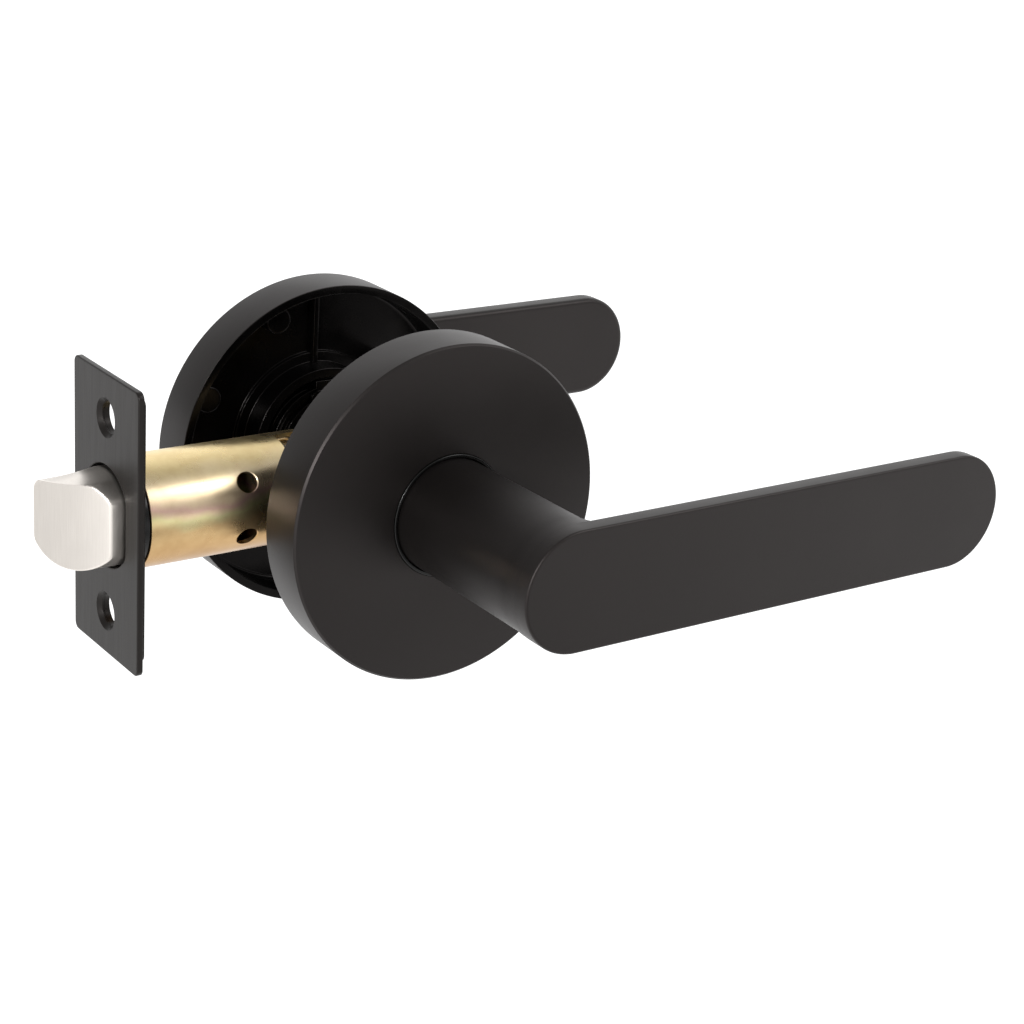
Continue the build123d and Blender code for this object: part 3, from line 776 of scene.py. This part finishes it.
def bolt_loop(inset, sharpness=45.0, count=160):
    """Round section with flats: a soft minimum of the circle and the two flats, by angle."""
    angle = np.linspace(0, 2 * np.pi, count, endpoint=False)
    flat = (bolt_flat - inset) / np.maximum(np.abs(np.cos(angle)), 1e-6)
    radius = ((bolt_radius - inset) ** -sharpness + flat**-sharpness) ** (-1 / sharpness)
    return np.stack([radius * np.cos(angle), radius * np.sin(angle)], -1)


def opening(inset):
    """Outline of the hole for the bolt: the bolt's own section, 0.6 mm larger all round."""
    return bolt_loop(inset - 0.6, 60.0)


def sink_tool(z):
    """Turned tool for a countersunk hole: plain bore, then a cone that opens to the front."""
    front, back = plate_low[0], plate_high[0]
    depth = sink_radius - hole_radius
    profile = np.array(
        [
            (0.0, front - 0.5),
            (sink_radius + 0.62, front - 0.5),
            (sink_radius + 0.08, front),
            (hole_radius + 0.05, front + depth),
            (hole_radius, front + depth + 0.06),
            (hole_radius, back - 0.1),
            (hole_radius + 0.6, back + 0.5),
            (0.0, back + 0.5),
        ]
    )
    flat, quads = turned(profile, 64, axis="x", loop=False)
    return flat + np.array([0.0, 0.0, z * MM]), quads


def plate_mesh(low, high, round_front, corner):
    """Strip with rounded corners, its front edge rounded more than its back edge."""
    strip = box_outline(high[1], high[2], corner)
    plate = slab(strip, low[0], high[0], round_front, 0.08, axis="x", core=high[1])
    return mesh_from("strip", [plate])


front_plate = plate_mesh(plate_low, plate_high, 0.28, 1.5)
bolt_tool = cutter(opening, plate_low[0], plate_high[0], axis="x", flare=0.15)
front_plate = carve(front_plate, [bolt_tool])
front_plate = carve(front_plate, [sink_tool(hole_place), sink_tool(-hole_place)])
piece_for("faceplate", front_plate)

rear_plate = plate_mesh(back_low, back_high, 0.08, 1.5)
rear_tools = [cutter(opening, back_low[0], back_high[0], axis="x")]
for z in (hole_place, -hole_place):
    hole = disc(hole_radius + 0.2, (0.0, z))
    rear_tools.append(cutter(hole, back_low[0], back_high[0], axis="x"))
piece_for("backing_plate", carve(rear_plate, rear_tools))

# %% [markdown]
# ## Bolt
# The bolt's front is a slanted, slightly crowned face, so that it slides past the strike
# plate.  The section is carried forward to that curved front and then shrinks to a point in
# the middle of it, with the edge between rounded by a small quarter arc.  The top slopes down
# a little towards the front.

# %% Make the bolt
heel_x, tip_x, crown = plate_low[0] - 2.6, bolt_low[0], 46.0
slant = np.array([heel_x - tip_x, -2 * bolt_flat])
half_chord = np.linalg.norm(slant) / 2
inward = np.array([-slant[1], slant[0]]) / (2 * half_chord)
crown_rise = math.sqrt(crown**2 - half_chord**2)
crown_centre = np.array([tip_x, bolt_flat]) + slant / 2 + inward * crown_rise


def bolt_front(y):
    """Front of the bolt at distance y from its middle, on the crown's circle."""
    return crown_centre[0] - np.sqrt(crown**2 - (y - crown_centre[1]) ** 2)


bolt_edge, bevel_start, bevel_slope = 0.4, -61.0, 0.29


def under_bevel(loop, x):
    """Loop with its top softly held under the bevel, which drops evenly towards the front."""
    top = bolt_radius - bevel_slope * np.maximum(bevel_start - x, 0.0) - 0.01
    high = np.maximum(loop[:, 1], 0.1)
    held = (high**-40.0 + top**-40.0) ** (-1 / 40.0)
    return np.stack([loop[:, 0], np.where(loop[:, 1] > 0.1, held, loop[:, 1])], -1)


loops, depths = [], []
for inset, x in ((0.3, bolt_high[0]), (0.0, bolt_high[0] - 0.3), (0.0, bevel_start)):
    loops.append(bolt_loop(inset))
    depths.append(np.full(len(loops[-1]), x))
for a in np.linspace(0, np.pi / 2, 7):
    loop = bolt_loop(bolt_edge * (1 - np.cos(a)))
    depths.append(bolt_front(loop[:, 0]) + bolt_edge * (1 - np.sin(a)))
    loops.append(under_bevel(loop, depths[-1] + bolt_edge * np.sin(a)))
rim = loops[-1]
for share in np.linspace(0.95, 0.0, 14):
    loops.append(rim * share)
    depths.append(bolt_front(loops[-1][:, 0]))
loops = np.stack([loops[0] * 0.0] + loops)
depths = np.maximum(np.stack([depths[0]] + depths), bolt_low[0] + 0.02)
bolt_shell = shell(np.stack([depths, loops[..., 0], loops[..., 1]], -1) * MM)
piece_for("bolt", mesh_from("bolt", [bolt_shell], 50.0))
print("bolt front at the middle", bolt_front(np.array(0.0)))

# %% [markdown]
# ## Latch tube
# A drawn steel tube holds the bolt and its spring.  Half of its wall runs on further past the
# front of the case, and two round holes are punched in the wall on the outside's side.

# %% Make the tube and the collar
tube_low, tube_high = span_of("latch_tube")
tube_radius, tube_wall, near_end = tube_high[2], 0.9, -24.0
relief_half, relief_shift = 15.0, -14.5
punch_radius, punch_station, punch_angles = 2.15, -34.7, (28.0, -33.0)
wall_profile = rounded(
    [
        (tube_radius, tube_low[0], 0.2),
        (tube_radius, tube_high[0], 0.2),
        (tube_radius - tube_wall, tube_high[0], 0.2),
        (tube_radius - tube_wall, tube_low[0], 0.2),
    ]
)
tube_mesh = mesh_from("tube", [turned(wall_profile, 256, axis="x")])
half_box = box_outline(relief_half, relief_half, 0.1)
relief = slab(half_box, near_end, 0.0, 0.05, 0.05, axis="x", core=relief_half)
relief = (relief[0] + np.array([0.0, relief_shift * MM, 0.0]), relief[1])
tube_mesh = carve(tube_mesh, [relief])
punches = []
for degrees in punch_angles:
    flat, quads = cutter(disc(punch_radius, (punch_station, 0.0), 48), -11.15, -8.0, flare=0.28)
    cos_tilt, sin_tilt = math.cos(math.radians(degrees)), math.sin(math.radians(degrees))
    spin = np.array([[1, 0, 0], [0, cos_tilt, -sin_tilt], [0, sin_tilt, cos_tilt]])
    punches.append((flat @ spin.T, quads))
piece_for("latch_tube", carve(tube_mesh, punches))

collar_low, collar_high = span_of("tube_collar")
collar_bore = 10.1
collar_profile = rounded(
    [
        (collar_high[2], collar_low[0], 0.1),
        (collar_high[2], collar_high[0], 0.3),
        (collar_bore, collar_high[0], 0.1),
        (collar_bore, collar_low[0], 0.1),
    ]
)
piece_for("tube_collar", mesh_from("collar", [turned(collar_profile, 160, axis="x")]))

# %% [markdown]
# ## Springs
# A spring is a round wire on a helix.  The grid's rows follow the helix and its columns go
# round the wire, in the plane square to the helix, and the ends shrink to a point.  The bolt
# spring rides on the chassis and gets a mesh of its own; the return springs round the necks
# are left as they are.

# %% Make the springs
def coil(radius, wire, start, length, turns, axis, count=14):
    """Wire of radius `wire` whose middle is radius (cos p, sin p), rising evenly with p."""
    steps = int(48 * turns)
    t = np.concatenate([[0.0], np.linspace(0, 1, steps), [1.0]])[:, None]
    thick = np.ones_like(t) * wire
    thick[0] = thick[-1] = 0.0
    p = 2 * np.pi * turns * t
    rise = length / (2 * np.pi * turns)
    slope = math.hypot(radius, rise)
    round_wire = np.linspace(0, 2 * np.pi, count, endpoint=False)
    out, lift = thick * np.cos(round_wire), thick * np.sin(round_wire)
    u = (radius + out) * np.cos(p) + lift * np.sin(p) * rise / slope
    v = (radius + out) * np.sin(p) - lift * np.cos(p) * rise / slope
    w = start + length * t + lift * radius / slope
    order = (w, v, -u) if axis == "x" else (u, w, v)
    return shell(np.stack(order, -1) * MM)


spring_low, spring_high = span_of("bolt_spring")
wire, coil_radius, coil_turns, slim = 0.45, 5.6, 5.5, 0.98
first = spring_low[0] + wire
bolt_coil = coil(coil_radius, wire * slim, first, spring_high[0] - wire - first, coil_turns, "x")
bolt_spring = piece_for("bolt_spring", mesh_from("bolt_spring", [bolt_coil]), body="chassis")
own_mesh(bolt_spring)
return_radius, return_start, return_length, return_turns = 11.6, 21.75, 2.2, 2.0
for name, side in sides.items():
    place_y, rise_y = side * return_start, side * return_length
    wound = coil(return_radius, wire * slim, place_y, rise_y, return_turns, "y")
    piece_for(name + "_return_spring", mesh_from("return_spring", [wound]))

# %% [markdown]
# ## Small parts
# The parts inside the latch and round the necks are already the right shape in the CAD model.
# A copy of each is merged and its edges are slightly broken, so that they catch the light as
# pressed and turned parts do.

# %% Weld the rest
edges = {
    "case_plate_outside": 0.15,
    "case_plate_inside": 0.15,
    "case_rivets": 0.12,
    "spring_seat": 0.1,
    "retractor": 0.12,
    "bolt_tail": 0.12,
    "spindle": 0.0,
    "latch_hub": 0.12,
    "rose_posts": 0.12,
    "rose_screws": 0.08,
}
for name in sides:
    for part in ("driver_plate", "thrust_washer", "circlip", "set_screw"):
        edges[f"{name}_{part}"] = 0.08
    edges[name + "_wave_washer"] = 0.0
for node, edge in edges.items():
    piece_for(node, welded(node, edge))

# %% [markdown]
# ## Camera
# The camera stands in front of the latch edge, a little above the spindle, and looks along
# the levers.  A long lens keeps the perspective gentle, as in product pictures.

# %% Set the camera
forward = Vector((0.5547, 0.7548, -0.3501)).normalized()
down = Vector((-0.1517, -0.3220, -0.9345))
right = (-down).cross(-forward).normalized()
up = (-forward).cross(right).normalized()
camera_data = bpy.data.cameras.new("camera")
camera_data.lens, camera_data.sensor_width = 79.0, 36.0
camera_data.clip_start, camera_data.clip_end = 0.01, 20.0
camera = bpy.data.objects.new("camera", camera_data)
bpy.context.scene.collection.objects.link(camera)
rotation = Matrix((right, up, -forward)).transposed().to_4x4()
camera.matrix_world = Matrix.Translation(Vector((-235.39, -369.47, 156.49)) * MM) @ rotation
bpy.context.scene.camera = camera
print("camera at", tuple(round(v, 3) for v in camera.location))

# %% [markdown]
# ## Materials on the CAD nodes
# The detailed pieces stand in for the nodes that came from CAD.  The nodes get the same
# finishes all the same, so nothing is left in a default grey if one is ever shown.

# %% Colour the CAD nodes
for node, thing in frame["nodes"].items():
    thing.data.materials.clear()
    thing.data.materials.append(finishes[slot_of[node]])
print(len(frame["nodes"]), "CAD nodes coloured")

# %% [markdown]
# ## Floor
# Black things are often shown on a lit white table, so that the edges stand out and no shadow
# shows.  Here the floor glows by itself, and two soft dim patches on it stand for black cards:
# what the faces mirror there makes them look black.

# %% Make the lit floor
floor_mesh = bpy.data.meshes.new("floor")
reach, depth, full_glow = 12.0, -0.16, 1.08
corners = [(-reach, -reach), (reach, -reach), (reach, reach), (-reach, reach)]
floor_mesh.from_pydata([(x, y, depth) for x, y in corners], [], [(0, 1, 2, 3)])
floor = bpy.data.objects.new("floor", floor_mesh)
bpy.context.scene.collection.objects.link(floor)
paper = Finish("lit white paper")
paper.set(Base_Color=(0.25, 0.25, 0.25, 1.0), Roughness=0.9, Specular_IOR_Level=0.0)


def dim_round(spot, low, near, far):
    """Glow that is low within `near` of a spot on the floor and full beyond `far`."""
    distance = paper.tree.nodes.new("ShaderNodeVectorMath")
    distance.operation = "DISTANCE"
    distance.inputs[1].default_value = (*spot, depth)
    paper.tree.links.new(paper.coords, distance.inputs[0])
    return paper.span(distance.outputs["Value"], low, full_glow, near, far)


glow = paper.tree.nodes.new("ShaderNodeMath")
glow.operation = "MINIMUM"
front_card = dim_round((0.0, -0.45), low=0.22, near=0.14, far=0.43)
left_card = dim_round((-0.50, 0.15), low=0.62, near=0.20, far=0.42)
paper.tree.links.new(front_card, glow.inputs[0])
paper.tree.links.new(left_card, glow.inputs[1])
paper.set(Emission_Color=(1.0, 1.0, 1.0, 1.0))
paper.join(glow.outputs[0], "Emission Strength")
floor.data.materials.append(paper.material)
print("floor at", depth, "m")

# %% [markdown]
# ## Room light
# The room is a soft white surround that is brighter behind and to the right.  The brightness
# follows how far each direction leans that way, which a dot product measures.

# %% Light the room
world = bpy.data.worlds.new("studio")
bpy.context.scene.world = world
world.use_nodes = True
nodes, links = world.node_tree.nodes, world.node_tree.links
backdrop = nodes["Background"]
backdrop.inputs["Color"].default_value = (1.0, 1.0, 1.0, 1.0)
way = nodes.new("ShaderNodeTexCoord")
lean = nodes.new("ShaderNodeVectorMath")
lean.operation = "DOT_PRODUCT"
lean.inputs[1].default_value = (0.70, 0.71, 0.0)
level = nodes.new("ShaderNodeMapRange")
level.interpolation_type = "SMOOTHSTEP"
room = {"From Min": 0.1, "From Max": 0.95, "To Min": 0.46, "To Max": 1.40}
for key, value in room.items():
    level.inputs[key].default_value = value
links.new(way.outputs["Generated"], lean.inputs[0])
links.new(lean.outputs["Value"], level.inputs["Value"])
links.new(level.outputs["Result"], backdrop.inputs["Strength"])
print("room light from", room["To Min"], "to", room["To Max"])

# %% [markdown]
# ## Lamps
# A large lamp on the right gives the tube its broad highlight, and a small one on the left
# picks out the broken edges.

# %% Add the lamps
def area(name, place, width, power, aim=(0.02, 0.0, 0.0)):
    """Square area lamp at a place, turned to face the aim."""
    lamp = bpy.data.lights.new(name, "AREA")
    lamp.shape, lamp.size, lamp.size_y = "RECTANGLE", width, width
    lamp.energy = power
    thing = bpy.data.objects.new(name, lamp)
    thing.location = place
    thing.rotation_mode = "QUATERNION"
    thing.rotation_quaternion = (Vector(aim) - Vector(place)).to_track_quat("-Z", "Y")
    bpy.context.scene.collection.objects.link(thing)
    print(f"{name} lamp: {power} W, {width} m across")


area("key", (0.70, -0.75, 0.80), 0.6, 5.5)
area("left", (-1.0, -0.85, 0.45), 0.22, 14.0)
bpy.context.scene.view_settings.view_transform = "Standard"

# %% [markdown]
